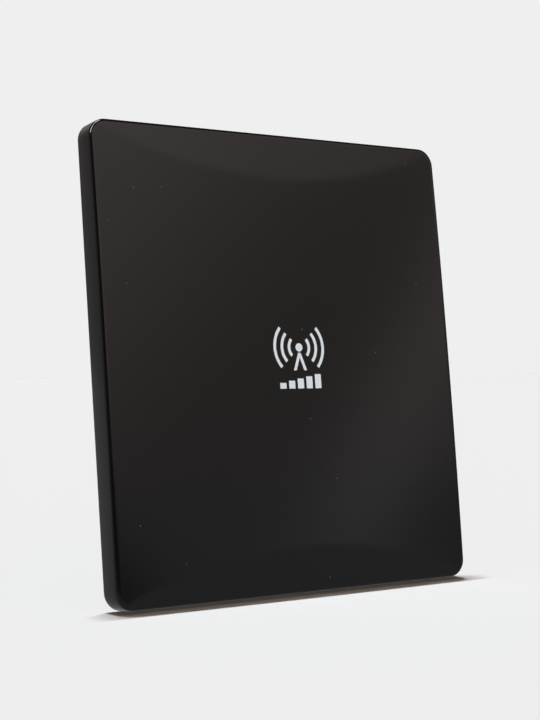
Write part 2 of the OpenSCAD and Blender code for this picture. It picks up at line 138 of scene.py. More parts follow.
def colour(name, words, value):
    return FloatVectorProperty(
        name=name, description=words, default=value, subtype="COLOR", size=3, min=0.0, max=1.0
    )


class PanelShape(bpy.types.PropertyGroup):
    width: length("Width", "Width of the panel", 219 * MM)
    height: length("Height", "Height of the panel along its slope", 240 * MM)
    rim_depth: length("Rim depth", "Depth of the side walls at the corners", 12.7 * MM)
    corner_radius: length("Corner radius", "Radius of the corners seen from the front", 9.5 * MM)
    edge_radius: length("Edge radius", "Radius between the side walls and the front", 1.5 * MM)
    rear_edge_radius: length("Rear edge radius", "Radius of the rear rim's outer edge", 0.5 * MM)
    edge_bow: length("Edge bow", "Rise of the front at the middle of each side edge", 1.4 * MM)
    facet_height: length("Facet height", "Height of the sloping facets at their middle", 24 * MM)
    crease_softness: length("Crease softness", "Depth where dome and facet blend", 0.07 * MM)
    front_wall: length("Front wall", "Thickness of the front", 2.2 * MM)
    side_wall: length("Side wall", "Thickness of the side walls", 2.4 * MM)
    rim_wall: length("Rim wall", "Thickness of the side walls behind the ledge", 1.2 * MM)
    ledge_depth: length("Ledge depth", "Depth of the gasket ledge below the rear rim", 5.4 * MM)
    lean: FloatProperty(
        name="Lean",
        description="Lean back from upright",
        default=math.radians(6.9),
        subtype="ANGLE",
    )


class PanelColours(bpy.types.PropertyGroup):
    shell: colour("Shell", "Gloss black of the front cover", (0.0034, 0.0030, 0.0028))
    rear: colour("Rear", "Grained black of the rear cover", (0.016, 0.016, 0.017))
    rubber: colour("Rubber", "Soft black of gasket and foot", (0.012, 0.012, 0.012))
    print_white: colour("Print", "White of the printed mark", (0.74, 0.80, 0.87))
    floor: colour("Floor", "Pale studio floor", (PALE, PALE, PALE))


class StudioSettings(bpy.types.PropertyGroup):
    image_height: IntProperty(
        name="Image height", description="Height of the picture in pixels", default=720
    )
    focal_pixels: number("Focal length", "Focal length in pixels", 1533.8)
    camera_place: FloatVectorProperty(
        name="Camera",
        description="Place of the camera",
        default=(-0.46169, -0.66510, 0.12473),
        subtype="XYZ",
        unit="LENGTH",
    )
    camera_forward: FloatVectorProperty(
        name="Camera direction",
        description="Direction that the camera looks in",
        default=(0.56850, 0.82267, -0.00486),
        subtype="XYZ",
    )
    background: number("Background", "Brightness of the backdrop", PALE)
    sky_level: number("Sky", "Level of the soft light from all sides", 0.07)
    top_level: number("Top light", "Level of the light from above", 0.905)
    front_level: number("Front light", "Level of the low light from the front", 0.60)


def panel_matrix(shape):
    """Takes what is drawn about the middle of an upright panel to where the frame has it."""
    rear_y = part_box("front_cover")[1][1] - shape.height * math.sin(shape.lean)
    leaning = Matrix.Translation((0, rear_y, 0)) @ Matrix.Rotation(-shape.lean, 4, "X")
    return leaning @ Matrix.Translation((0, 0, shape.height / 2))


def curvature(shape):
    return 4 * shape.edge_bow / shape.height**2


def crown_depth(shape):
    return shape.rim_depth + curvature(shape) * (shape.width**2 + shape.height**2) / 4


def facet_slope(shape):
    reach = shape.width**2 / 4 + shape.height * shape.facet_height - shape.facet_height**2
    return curvature(shape) * reach / shape.facet_height


def front_depth(shape, x, up):
    """Depth of the front ahead of the rear rim, at x across and up from the panel's middle."""
    dome = crown_depth(shape) - curvature(shape) * (x * x + up * up)
    facet = shape.rim_depth + facet_slope(shape) * (shape.height / 2 - abs(up))
    return min(dome, facet)


def rounded_loop(half_w, half_h, radius, corner_steps, side_steps):
    """Points round a rectangle with rounded corners, in x and z about its middle."""
    points = []
    centres = [(1, 1), (-1, 1), (-1, -1), (1, -1)]
    for quarter, (sx, sz) in enumerate(centres):
        cx = sx * (half_w - radius)
        cz = sz * (half_h - radius)
        arc_points = []
        for i in range(corner_steps + 1):
            turn = math.pi / 2 * (quarter + i / corner_steps)
            arc_points.append((cx + radius * math.cos(turn), cz + radius * math.sin(turn)))
        points += arc_points
        nx, nz = centres[(quarter + 1) % 4]
        turn = math.pi / 2 * (quarter + 1)
        end = (
            nx * (half_w - radius) + radius * math.cos(turn),
            nz * (half_h - radius) + radius * math.sin(turn),
        )
        start = arc_points[-1]
        for i in range(1, side_steps):
            t = i / side_steps
            points.append((start[0] + (end[0] - start[0]) * t, start[1] + (end[1] - start[1]) * t))
    return points


def skin_rings(shape, corner_steps, side_steps):
    """Rings of the shell from the middle of the front, round the rear rim, to the middle inside.

    Each is (points, follows the front, offset). The offset is measured from the front's depth
    where the ring follows the front, and else from the rear rim."""
    flat_inset = 9 * MM
    flat_steps, inset_steps, edge_steps, rear_edge_steps, inner_steps = 62, 6, 8, 4, 12

    def inset_loop(inset):
        return rounded_loop(
            shape.width / 2 - inset,
            shape.height / 2 - inset,
            shape.corner_radius - inset,
            corner_steps,
            side_steps,
        )

    def scaled(loop, factor):
        return [(x * factor, z * factor) for x, z in loop]

    flat = inset_loop(flat_inset)
    rings = [(scaled(flat, i / flat_steps), 1.0, 0.0) for i in range(1, flat_steps)]
    for i in range(inset_steps):
        inset = flat_inset + (shape.edge_radius - flat_inset) * i / inset_steps
        rings.append((inset_loop(inset), 1.0, 0.0))
    for i in range(edge_steps + 1):
        turn = math.pi / 2 * i / edge_steps
        inset = shape.edge_radius * (1 - math.sin(turn))
        rings.append((inset_loop(inset), 1.0, -shape.edge_radius * (1 - math.cos(turn))))
    for i in range(rear_edge_steps + 1):
        turn = math.pi / 2 * i / rear_edge_steps
        inset = shape.rear_edge_radius * (1 - math.cos(turn))
        rings.append((inset_loop(inset), 0.0, shape.rear_edge_radius * (1 - math.sin(turn))))
    rings.append((inset_loop(shape.rim_wall), 0.0, 0.0))
    rings.append((inset_loop(shape.rim_wall), 0.0, shape.ledge_depth))
    rings.append((inset_loop(shape.side_wall), 0.0, shape.ledge_depth))
    inside = inset_loop(shape.side_wall)
    for i in range(inner_steps):
        rings.append((scaled(inside, 1 - i / inner_steps), 1.0, -shape.front_wall))
    return rings


def bridge(bm, first, second):
    count = len(first)
    for i in range(count):
        j = (i + 1) % count
        bm.faces.new((first[i], first[j], second[j], second[i]))


def finished_mesh(bm, name):
    mesh = bpy.data.meshes.new(name)
    bm.to_mesh(mesh)
    bm.free()
    return mesh


def front_base_mesh(shape):
    """The shell's rings before the node tree shapes them, with the numbers for their depths."""
    bm = bmesh.new()
    follow = bm.verts.layers.float.new("follows_front")
    offset = bm.verts.layers.float.new("depth_offset")

    def add(x, z, follows, depth):
        vert = bm.verts.new((x, -depth, z))
        vert[follow] = follows
        vert[offset] = depth
        return vert

    rings = [
        [add(x, z, follows, depth) for x, z in loop]
        for loop, follows, depth in skin_rings(shape, corner_steps=12, side_steps=56)
    ]
    for ring, after in zip(rings, rings[1:]):
        bridge(bm, ring, after)
    front_pole = add(0, 0, 1.0, 0.0)
    inner_pole = add(0, 0, 1.0, -shape.front_wall)
    for pole, ring, flip in ((front_pole, rings[0], True), (inner_pole, rings[-1], False)):
        count = len(ring)
        for i in range(count):
            a, b = ring[i], ring[(i + 1) % count]
            bm.faces.new((pole, b, a) if flip else (pole, a, b))
    return finished_mesh(bm, "front_cover_base")


class Tree:
    """Small helper that adds nodes to a tree and links them."""

    def __init__(self, tree):
        self.tree = tree

    def add(self, kind, inputs=None, **settings):
        node = self.tree.nodes.new(kind)
        for key, value in settings.items():
            setattr(node, key, value)
        for key, value in (inputs or {}).items():
            socket = node.inputs[key]
            if isinstance(value, bpy.types.NodeSocket):
                self.tree.links.new(value, socket)
            else:
                socket.default_value = value
        return node

    def link(self, source, target):
        self.tree.links.new(source, target)

    def math(self, operation, *values):
        inputs = dict(enumerate(values))
        return self.add("ShaderNodeMath", inputs, operation=operation).outputs[0]

    def plus(self, first, second):
        return self.math("ADD", first, second)

    def minus(self, first, second):
        return self.math("SUBTRACT", first, second)

    def times(self, first, second):
        return self.math("MULTIPLY", first, second)

    def largest(self, first, *others):
        for other in others:
            first = self.math("MAXIMUM", first, other)
        return first

    def attribute(self, name):
        return self.add(
            "GeometryNodeInputNamedAttribute", {"Name": name}, data_type="FLOAT"
        ).outputs[0]

    def finish_geometry(self, geometry, material):
        """Realizes the instances, sets the material and leads the result out."""
        realized = self.add("GeometryNodeRealizeInstances", {"Geometry": geometry}).outputs[0]
        finished = self.add(
            "GeometryNodeSetMaterial", {"Geometry": realized, "Material": material}
        ).outputs[0]
        self.add("NodeGroupOutput", {"Geometry": finished})


def new_geometry_tree(name, inputs):
    """A geometry node tree with a Geometry input and output and the named inputs."""
    tree = bpy.data.node_groups.new(name, "GeometryNodeTree")
    tree.interface.new_socket("Geometry", in_out="INPUT", socket_type="NodeSocketGeometry")
    for label, kind in inputs:
        tree.interface.new_socket(label, in_out="INPUT", socket_type=kind)
    tree.interface.new_socket("Geometry", in_out="OUTPUT", socket_type="NodeSocketGeometry")
    return tree


def run_geometry_tree(base, tree, values):
    """Runs the tree with its values on a base mesh, and returns the result as a plain mesh."""
    draft = bpy.data.objects.new(base.name, base)
    bpy.context.scene.collection.objects.link(draft)
    modifier = draft.modifiers.new(tree.name, "NODES")
    modifier.node_group = tree
    for item in tree.interface.items_tree:
        if item.item_type == "SOCKET" and item.in_out == "INPUT" and item.name in values:
            modifier[item.identifier] = values[item.name]
    draft.update_tag()
    depsgraph = bpy.context.evaluated_depsgraph_get()
    mesh = bpy.data.meshes.new_from_object(draft.evaluated_get(depsgraph))
    bpy.data.objects.remove(draft)
    return mesh


def domed_front_tree():
    """Gives each point its depth: the lesser of a dome and two flat facets, softly blended."""
    names = [
        "Crown Depth", "Curvature", "Rim Depth", "Facet Slope", "Half Height", "Crease Softness",
    ]
    inputs = [(name, "NodeSocketFloat") for name in names] + [("Material", "NodeSocketMaterial")]
    tree = new_geometry_tree("Domed Front", inputs)
    t = Tree(tree)
    given = t.add("NodeGroupInput").outputs
    position = t.add("GeometryNodeInputPosition").outputs[0]
    place = t.add("ShaderNodeSeparateXYZ", {0: position}).outputs
    radius_squared = t.plus(t.math("POWER", place["X"], 2.0), t.math("POWER", place["Z"], 2.0))
    dome = t.minus(given["Crown Depth"], t.times(given["Curvature"], radius_squared))
    to_edge = t.minus(given["Half Height"], t.math("ABSOLUTE", place["Z"]))
    facet = t.plus(given["Rim Depth"], t.times(given["Facet Slope"], to_edge))
    front = t.math("SMOOTH_MIN", dome, facet, given["Crease Softness"])
    depth = t.plus(t.times(t.attribute("follows_front"), front), t.attribute("depth_offset"))
    moved = t.add(
        "ShaderNodeCombineXYZ", {"X": place["X"], "Y": t.times(depth, -1.0), "Z": place["Z"]}
    ).outputs[0]
    placed = t.add(
        "GeometryNodeSetPosition", {"Geometry": given["Geometry"], "Position": moved}
    ).outputs[0]
    t.finish_geometry(placed, given["Material"])
    return tree


def unit_post_mesh(bore, sides=32):
    """Closed post of radius 1 and length 1 along -y, with a bore where its radius isn't 0."""
    bm = bmesh.new()
    turns = [math.tau * i / sides for i in range(sides)]

    def loop(radius, y):
        return [
            bm.verts.new((radius * math.cos(turn), y, radius * math.sin(turn))) for turn in turns
        ]

    rear, front = loop(1.0, 0.0), loop(1.0, -1.0)
    bridge(bm, rear, front)
    if bore:
        rear_bore, front_bore = loop(bore, 0.0), loop(bore, -1.0)
        bridge(bm, front, front_bore)
        bridge(bm, front_bore, rear_bore)
        bridge(bm, rear_bore, rear)
    else:
        bm.faces.new(rear)
        bm.faces.new(list(reversed(front)))
    bmesh.ops.recalc_face_normals(bm, faces=bm.faces)
    return finished_mesh(bm, "unit_post")


def post(shape, place, radius, start, end=None):
    """A post as (x, z, radius, start, length). Without an end it reaches into the front wall."""
    x, z = place
    if end is None:
        end = front_depth(shape, x, z) - shape.front_wall / 2
    return x, z, radius, start, end - start


def post_points_mesh(posts):
    """A loose point for each post, with the numbers that the node tree sizes it by."""
    bm = bmesh.new()
    radius_layer = bm.verts.layers.float.new("post_radius")
    length_layer = bm.verts.layers.float.new("post_length")
    for x, z, radius, start, reach in posts:
        vert = bm.verts.new((x, -start, z))
        vert[radius_layer] = radius
        vert[length_layer] = reach
    return finished_mesh(bm, "post_points")


def moulded_posts_tree():
    """Stands a post on each point, as wide and long as the point's own numbers say."""
    tree = new_geometry_tree(
        "Moulded Posts", [("Post Shape", "NodeSocketObject"), ("Material", "NodeSocketMaterial")]
    )
    t = Tree(tree)
    given = t.add("NodeGroupInput").outputs
    radius = t.attribute("post_radius")
    size = t.add(
        "ShaderNodeCombineXYZ", {"X": radius, "Y": t.attribute("post_length"), "Z": radius}
    ).outputs[0]
    shape = t.add("GeometryNodeObjectInfo", {"Object": given["Post Shape"]}).outputs["Geometry"]
    points = t.add("GeometryNodeMeshToPoints", {"Mesh": given["Geometry"]}).outputs[0]
    posts = t.add(
        "GeometryNodeInstanceOnPoints", {"Points": points, "Instance": shape, "Scale": size}
    ).outputs[0]
    t.finish_geometry(posts, given["Material"])
    return tree


def keep_piece(name, mesh, body, smooth=True):
    """Makes a finished mesh an object at the origin that rides on a body."""
    mesh.name = name
    for polygon in mesh.polygons:
        polygon.use_smooth = smooth
    obj = bpy.data.objects.new(name, mesh)
    bpy.context.scene.collection.objects.link(obj)
    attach(obj, body)
    return obj


def new_group(name, inputs, outputs):
    group = bpy.data.node_groups.new(name, "ShaderNodeTree")
    for label, value in inputs.items():
        socket = group.interface.new_socket(label, in_out="INPUT", socket_type="NodeSocketFloat")
        socket.default_value = value
    for label in outputs:
        group.interface.new_socket(label, in_out="OUTPUT", socket_type="NodeSocketFloat")
    return group


def dust_group():
    """A few small specks scattered over a surface, as a mask."""
    if "Dust Specks" in bpy.data.node_groups:
        return bpy.data.node_groups["Dust Specks"]
    group = new_group("Dust Specks", {"Spacing": 0.02, "Size": 0.02, "Amount": 0.3}, ["Mask"])
    t = Tree(group)
    given = t.add("NodeGroupInput").outputs
    where = t.add("ShaderNodeTexCoord").outputs["Object"]
    scale = t.math("DIVIDE", 1.0, given["Spacing"])
    cells = t.add("ShaderNodeTexVoronoi", {"Vector": where, "Scale": scale, "Randomness": 1.0})
    speck = t.math("LESS_THAN", cells.outputs["Distance"], given["Size"])
    some = t.add("ShaderNodeSeparateColor", {"Color": cells.outputs["Color"]}).outputs[0]
    kept = t.math("LESS_THAN", some, given["Amount"])
    t.add("NodeGroupOutput", {"Mask": t.times(speck, kept)})
    return group


def grain_group():
    """Fine moulded grain, as a height and a shade."""
    if "Moulded Grain" in bpy.data.node_groups:
        return bpy.data.node_groups["Moulded Grain"]
    group = new_group(
        "Moulded Grain", {"Grain Size": 0.0006, "Waviness": 0.2}, ["Height", "Shade"]
    )
    t = Tree(group)
    given = t.add("NodeGroupInput").outputs
    where = t.add("ShaderNodeTexCoord").outputs["Object"]
    scale = t.math("DIVIDE", 1.0, given["Grain Size"])
    fine = t.add(
        "ShaderNodeTexNoise", {"Vector": where, "Scale": scale, "Detail": 2.0, "Roughness": 0.6}
    )
    wide = t.add("ShaderNodeTexNoise", {"Vector": where, "Scale": 30.0, "Detail": 1.0})
    height = t.plus(fine.outputs[0], t.times(wide.outputs[0], given["Waviness"]))
    t.add("NodeGroupOutput", {"Height": height, "Shade": fine.outputs[0]})
    return group


def new_material(name):
    material = bpy.data.materials.new(name)
    material.use_nodes = True
    material.node_tree.nodes.clear()
    t = Tree(material.node_tree)
    shader = t.add("ShaderNodeBsdfPrincipled")
    t.add("ShaderNodeOutputMaterial", {"Surface": shader.outputs[0]})
    return material, t, shader


def mix_colour(t, mask, plain, marked):
    mixed = t.add("ShaderNodeMix", data_type="RGBA")
    t.link(mask, mixed.inputs[0])
    mixed.inputs[6].default_value = (*plain, 1.0)
    mixed.inputs[7].default_value = (*marked, 1.0)
    return mixed.outputs[2]


def set_roughness(t, shader, value, low, high):
    """Lets the roughness follow a value between 0 and 1."""
    rough = t.add("ShaderNodeMapRange", {"Value": value, "To Min": low, "To Max": high})
    t.link(rough.outputs[0], shader.inputs["Roughness"])


def set_bump(t, shader, height, strength, distance):
    bump = t.add("ShaderNodeBump", {"Height": height, "Strength": strength, "Distance": distance})
    t.link(bump.outputs[0], shader.inputs["Normal"])


def gloss_shell_material(colours):
    """Polished black plastic with a faint moulding wave and a few specks of dust."""
    material, t, shader = new_material("Casing Gloss Black")
    dust = t.add(
        "ShaderNodeGroup",
        {"Spacing": 0.008, "Size": 0.045, "Amount": 0.25},
        node_tree=dust_group(),
    )
    base = mix_colour(t, dust.outputs["Mask"], tuple(colours.shell), (0.09, 0.085, 0.08))
    t.link(base, shader.inputs["Base Color"])
    where = t.add("ShaderNodeTexCoord").outputs["Object"]
    wave = t.add("ShaderNodeTexNoise", {"Vector": where, "Scale": 14.0, "Detail": 1.0}).outputs[0]
    set_roughness(t, shader, wave, 0.09, 0.14)
    set_bump(t, shader, wave, strength=0.04, distance=0.001)
    shader.inputs["IOR"].default_value = 1.46
    return material


def grained_plastic_material(name, base, roughness, grain_size, bump_depth):
    """Moulded black plastic with a fine spark-eroded grain."""
    material, t, shader = new_material(name)
    grain = t.add("ShaderNodeGroup", {"Grain Size": grain_size}, node_tree=grain_group())
    dust = t.add("ShaderNodeGroup", {"Amount": 0.15}, node_tree=dust_group())
    dusty = mix_colour(t, dust.outputs["Mask"], base, (0.1, 0.1, 0.1))
    t.link(dusty, shader.inputs["Base Color"])
    set_roughness(t, shader, grain.outputs["Shade"], roughness - 0.08, roughness + 0.08)
    set_bump(t, shader, grain.outputs["Height"], strength=0.6, distance=bump_depth)
    return material


def thread_height(t, where, pitch, lean):
    """Ridges across the panel's depth, as a height, for what is threaded along it."""
    axis = (0.0, math.cos(lean), -math.sin(lean))
    along = t.add("ShaderNodeVectorMath", {0: where, 1: axis}, operation="DOT_PRODUCT")
    return t.math("SINE", t.times(along.outputs["Value"], math.tau / pitch))


def metal_material(name, base, roughness, streak_size, thread_pitch=0.0, lean=0.0):
    """Metal with fine streaks and a slightly uneven polish, and a thread where it has a pitch."""
    material, t, shader = new_material(name)
    where = t.add("ShaderNodeTexCoord").outputs["Object"]
    streaks = t.add(
        "ShaderNodeTexNoise", {"Vector": where, "Scale": 1.0 / streak_size, "Detail": 3.0}
    ).outputs[0]
    set_roughness(t, shader, streaks, roughness * 0.7, roughness * 1.3)
    shade = t.add("ShaderNodeMapRange", {"Value": streaks, "To Min": 0.0, "To Max": 0.35})
    darker = tuple(c * 0.7 for c in base)
    t.link(mix_colour(t, shade.outputs[0], base, darker), shader.inputs["Base Color"])
    shader.inputs["Metallic"].default_value = 1.0
    if thread_pitch:
        height = thread_height(t, where, thread_pitch, lean)
        set_bump(t, shader, height, strength=1.0, distance=0.2 * thread_pitch)
    return material


def mottled_material(name, base, accent, roughness, patch_size):
    """Board, ceramic, print and other plain materials with a slight mottle."""
    material, t, shader = new_material(name)
    where = t.add("ShaderNodeTexCoord").outputs["Object"]
    patches = t.add(
        "ShaderNodeTexNoise", {"Vector": where, "Scale": 1.0 / patch_size, "Detail": 3.0}
    ).outputs[0]
    t.link(mix_colour(t, patches, base, accent), shader.inputs["Base Color"])
    shader.inputs["Roughness"].default_value = roughness
    return material


def paint_node(node, material):
    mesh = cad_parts[node].data
    mesh.materials.clear()
    mesh.materials.append(material)


class ANTENNA_OT_front_cover(bpy.types.Operator):
    """Builds the domed front cover with its facets, rounded edges and hollow inside"""

    bl_idname = "antenna.front_cover"
    bl_label = "Front Cover"

    def execute(self, context):
        shape = context.scene.panel_shape
        mesh = run_geometry_tree(
            front_base_mesh(shape),
            domed_front_tree(),
            {
                "Crown Depth": crown_depth(shape),
                "Curvature": curvature(shape),
                "Rim Depth": shape.rim_depth,
                "Facet Slope": facet_slope(shape),
                "Half Height": shape.height / 2,
                "Crease Softness": shape.crease_softness,
                "Material": gloss_shell_material(context.scene.panel_colours),
            },
        )
        mesh.transform(panel_matrix(shape))
        cover = keep_piece("front_casing", mesh, PANEL_BODY)
        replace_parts(cover, "front_cover")
        return {"FINISHED"}


class ANTENNA_OT_front_posts(bpy.types.Operator):
    """Stands the screw posts and the riveted pegs on the inside of the front cover"""

    bl_idname = "antenna.front_posts"
    bl_label = "Front Posts"

    def execute(self, context):
        shape = context.scene.panel_shape
        tree = moulded_posts_tree()
        material = grained_plastic_material(
            "Casing Inside", (0.012, 0.012, 0.012), 0.45, grain_size=0.0006, bump_depth=0.00004
        )
        post_radius, cover_post_radius = 3 * MM, 4 * MM
        pin_radius, rivet_radius = 1.3 * MM, 2.2 * MM
        pin_front = PLATE_FRONT + 0.2 * MM
        rivet_rear = PLATE_REAR - 0.8 * MM
        bored = [post(shape, p, cover_post_radius, COVER_POST_REAR) for p in COVER_SCREW_PLACES]
        bored += [post(shape, p, post_radius, PLATE_FRONT) for p in FEED_SCREW_PLACES]
        bored += [post(shape, p, post_radius, PLATE_REAR) for p in BOARD_SCREW_PLACES]
        solid = [post(shape, p, post_radius, PLATE_FRONT) for p in PEG_PLACES]
        solid += [post(shape, p, pin_radius, PLATE_REAR, pin_front) for p in PEG_PLACES]
        solid += [post(shape, p, rivet_radius, rivet_rear, PLATE_REAR) for p in PEG_PLACES]
        pieces = (("front_screw_posts", BORE_SHARE, bored), ("front_pegs", 0.0, solid))
        for name, bore, posts in pieces:
            unit = bpy.data.objects.new("unit_post", unit_post_mesh(bore))
            unit.data.materials.append(material)
            context.scene.collection.objects.link(unit)
            values = {"Post Shape": unit, "Material": material}
            mesh = run_geometry_tree(post_points_mesh(posts), tree, values)
            bpy.data.objects.remove(unit)
            if not mesh.polygons:
                raise RuntimeError("the posts came out empty")
            mesh.transform(panel_matrix(shape))
            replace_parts(keep_piece(name, mesh, PANEL_BODY, smooth=False), "front_cover")
        return {"FINISHED"}


def raise_outline(bm, points, shape, thickness):
    """Raises a thin closed plate over an outline in x and z, along the panel's front."""
    depths = [front_depth(shape, x, z) for x, z in points]
    front = [bm.verts.new((x, -(d + thickness), z)) for (x, z), d in zip(points, depths)]
    back = [bm.verts.new((x, -(d - thickness), z)) for (x, z), d in zip(points, depths)]
    bm.faces.new(front)
    bm.faces.new(list(reversed(back)))
    count = len(points)
    for i in range(count):
        j = (i + 1) % count
        bm.faces.new((front[j], front[i], back[i], back[j]))


def arc(centre, radius, start, end, steps):
    """Points along an arc between two angles in degrees."""
    turns = [math.radians(start + (end - start) * i / steps) for i in range(steps + 1)]
    return [
        (centre[0] + radius * math.cos(turn), centre[1] + radius * math.sin(turn))
        for turn in turns
    ]


def mark_outlines():
    """Outlines of a mast with three waves on each side, over five signal bars."""
    outlines = []
    wave_width, wave_steps = 1.7 * MM, 16
    for reach in (5.5 * MM, 10 * MM, 14.5 * MM):
        for start, end in ((-42, 42), (138, 222)):
            outer = arc(MARK_MIDDLE, reach + wave_width, start, end, wave_steps)
            inner = arc(MARK_MIDDLE, reach, start, end, wave_steps)
            outlines.append(outer + inner[::-1])
    head_radius, head_sides = 2.2 * MM, 24
    outlines.append(arc(MARK_MIDDLE, head_radius, 0, 359, head_sides)[:head_sides])
    x, z = MARK_MIDDLE
    shoulder, foot, inner_foot, fork = (0.8, -2.8), (4.2, -12), (2.4, -12), (0, -5.2)
    left_half = [(-across, up) for across, up in (inner_foot, foot, shoulder)]
    mast = [shoulder, foot, inner_foot, fork, *left_half]
    outlines.append([(x + across * MM, z + up * MM) for across, up in mast])
    bar_count, bar_pitch, bar_width, bar_rise = 5, 5.6, 3.9 * MM, 1.1
    first_left, first_top = -13.5, -18.5
    bottom = z - 21.5 * MM
    for i in range(bar_count):
        left = x + (i * bar_pitch + first_left) * MM
        top = z + (first_top + bar_rise * i) * MM
        right = left + bar_width
        outlines.append([(left, bottom), (right, bottom), (right, top), (left, top)])
    return outlines


class ANTENNA_OT_front_mark(bpy.types.Operator):
    """Prints a plain white mast with waves and signal bars on the front"""

    bl_idname = "antenna.front_mark"
    bl_label = "Front Mark"

    def execute(self, context):
        shape = context.scene.panel_shape
        bm = bmesh.new()
        for outline in mark_outlines():
            raise_outline(bm, outline, shape, MARK_THICKNESS)
        bmesh.ops.recalc_face_normals(bm, faces=bm.faces)
        mesh = finished_mesh(bm, "front_mark")
        mesh.transform(panel_matrix(shape))
        white = tuple(context.scene.panel_colours.print_white)
        shaded = tuple(c * 0.9 for c in white)
        mesh.materials.append(mottled_material("Print White", white, shaded, 0.5, 0.0008))
        keep_piece("front_mark", mesh, PANEL_BODY, smooth=False)
        return {"FINISHED"}


class ANTENNA_OT_finishes(bpy.types.Operator):
    """Gives every carried-over solid its own finish"""

    bl_idname = "antenna.finishes"
    bl_label = "Finishes"

    def execute(self, context):
        grained, metal, mottled = grained_plastic_material, metal_material, mottled_material
        rear = tuple(context.scene.panel_colours.rear)
        rubber = tuple(context.scene.panel_colours.rubber)
        lean = context.scene.panel_shape.lean
        # name, base colour, roughness, size of the grain, depth of the bump
        rear_grain = grained("Rear Grained Black", rear, 0.5, 0.0005, 0.00006)
        leg_grain = grained("Leg Grained Black", rear, 0.45, 0.0006, 0.00006)
        soft = grained("Soft Rubber", rubber, 0.8, 0.0003, 0.00003)
        # name, base colour, roughness, size of the streaks
        aluminium = metal("Plate Aluminium", (0.78, 0.79, 0.8), 0.3, 0.004)
        tinplate = metal("Tinplate", (0.75, 0.76, 0.77), 0.25, 0.006)
        steel = metal("Zinc Steel", (0.6, 0.61, 0.63), 0.35, 0.001)
        nickel = metal("Nickel Plate", NICKEL, 0.18, 0.002)
        thread = metal("Nickel Thread", NICKEL, 0.2, 0.002, SOCKET_THREAD_PITCH, lean)
        brass = metal("Bare Brass", (0.8, 0.61, 0.28), 0.3, 0.001)
        gold = metal("Gold Contact", (0.9, 0.7, 0.32), 0.2, 0.001)
        copper = metal("Copper Wire", (0.75, 0.38, 0.2), 0.3, 0.0005)
        # name, base colour, colour of the mottle, roughness, size of the mottle
        board = mottled("Board Green", (0.02, 0.13, 0.05), (0.03, 0.17, 0.07), 0.35, 0.002)
        chip = mottled("Chip Black", (0.02, 0.02, 0.02), (0.03, 0.03, 0.03), 0.6, 0.0005)
        ceramic = mottled("Ceramic Tan", (0.45, 0.34, 0.2), (0.55, 0.42, 0.26), 0.5, 0.0005)
        ferrite = mottled("Ferrite", (0.05, 0.05, 0.055), (0.08, 0.08, 0.085), 0.6, 0.0006)
        plastic = mottled(
            "Insulator White", (0.82, 0.81, 0.76), (0.86, 0.85, 0.81), 0.4, 0.001
        )
        finishes = {
            "rear_cover": rear_grain, "cover_gasket": soft, "cover_screws": steel,
            "left_element": aluminium, "right_element": aluminium, "feed_screws": brass,
            "amplifier_board": board, "board_screws": steel, "shield_frame": tinplate,
            "shield_lid": tinplate, "amplifier_chip": chip, "filter_coils": copper,
            "chip_capacitors": ceramic, "balun_core": ferrite, "connector_body": thread,
            "connector_insulator": plastic, "connector_contact": gold, "connector_seal": soft,
            "connector_washer": steel, "connector_nut": nickel, "bracket_inserts": brass,
            "leg_bracket": leg_grain, "bracket_screws": steel, "support_leg": leg_grain,
            "leg_pin": steel, "leg_pad": soft,
        }
        for node, material in finishes.items():
            paint_node(node, material)
        return {"FINISHED"}


def ramp(t, value, start, end, low=0.0, high=1.0):
    """Smooth step of a value from one level to another."""
    node = t.add(
        "ShaderNodeMapRange",
        {"Value": value, "From Min": start, "From Max": end, "To Min": low, "To Max": high},
        interpolation_type="SMOOTHSTEP",
    )
    return node.outputs[0]


def slanting(t, value, other, pivot, slope):
    """The value plus the slope times how far the other one is past the pivot."""
    return t.plus(value, t.times(t.minus(other, pivot), slope))


def room_reflection(t, direction, backdrop_level):
    """Brightness of the room by direction, as the polished panel mirrors it, and the angle up.

    Angles are in degrees: around from the front towards the left, and up from the horizon."""

    def step(name, value):
        return ramp(t, value, *ROOM_STEPS[name])

    to_left = t.times(direction["X"], -1.0)
    to_front = t.times(direction["Y"], -1.0)
    around = t.math("DEGREES", t.math("ARCTAN2", to_left, to_front))
    up = t.math("DEGREES", t.math("ARCSINE", direction["Z"]))

    left_edge = step("front wall left edge", slanting(t, around, up, pivot=-5.0, slope=-0.9))
    wall_top = t.times(step("front wall right edge", around), step("front wall top", up))
    dim_corner = t.times(step("dim corner side", around), step("dim corner top", up))
    glow = step("glow", slanting(t, up, around, pivot=-36.0, slope=0.9))
    window = t.times(step("window foot", up), step("window side", around))
    upper_wall = t.times(step("upper wall foot", up), step("upper wall side", around))
    across_band = slanting(t, t.minus(up, BAND_HEIGHT), around, pivot=-44.0, slope=1.2)
    band = t.times(step("band", t.math("ABSOLUTE", across_band)), step("band side", around))
    level = t.minus(FRONT_WALL_LEVEL, dim_corner)
    for extra in (glow, window, upper_wall, band):
        level = t.plus(level, extra)
    front_wall = t.times(t.times(left_edge, wall_top), level)

    left_wall = t.times(step("left wall side", around), step("left wall top", up))
    from_lamp = t.math("ABSOLUTE", t.minus(around, LAMP_MIDDLE))
    lamp = t.times(step("lamp side", from_lamp), step("lamp foot", up))
    overhead_lamp = step("overhead lamp", up)

    heading_x, heading_y = BACKDROP_HEADING
    behind = t.plus(t.times(direction["X"], heading_x), t.times(direction["Y"], heading_y))
    backdrop = t.times(step("backdrop", behind), t.times(step("backdrop top", up), backdrop_level))
    rear_side = step("rear wall side", t.math("ABSOLUTE", around))
    rear_wall = t.times(t.times(step("rear wall", behind), rear_side), step("rear wall height", up))

    level = t.largest(
        front_wall, left_wall, backdrop, rear_wall, DARK_ROOM_LEVEL, lamp, overhead_lamp
    )
    return level, up


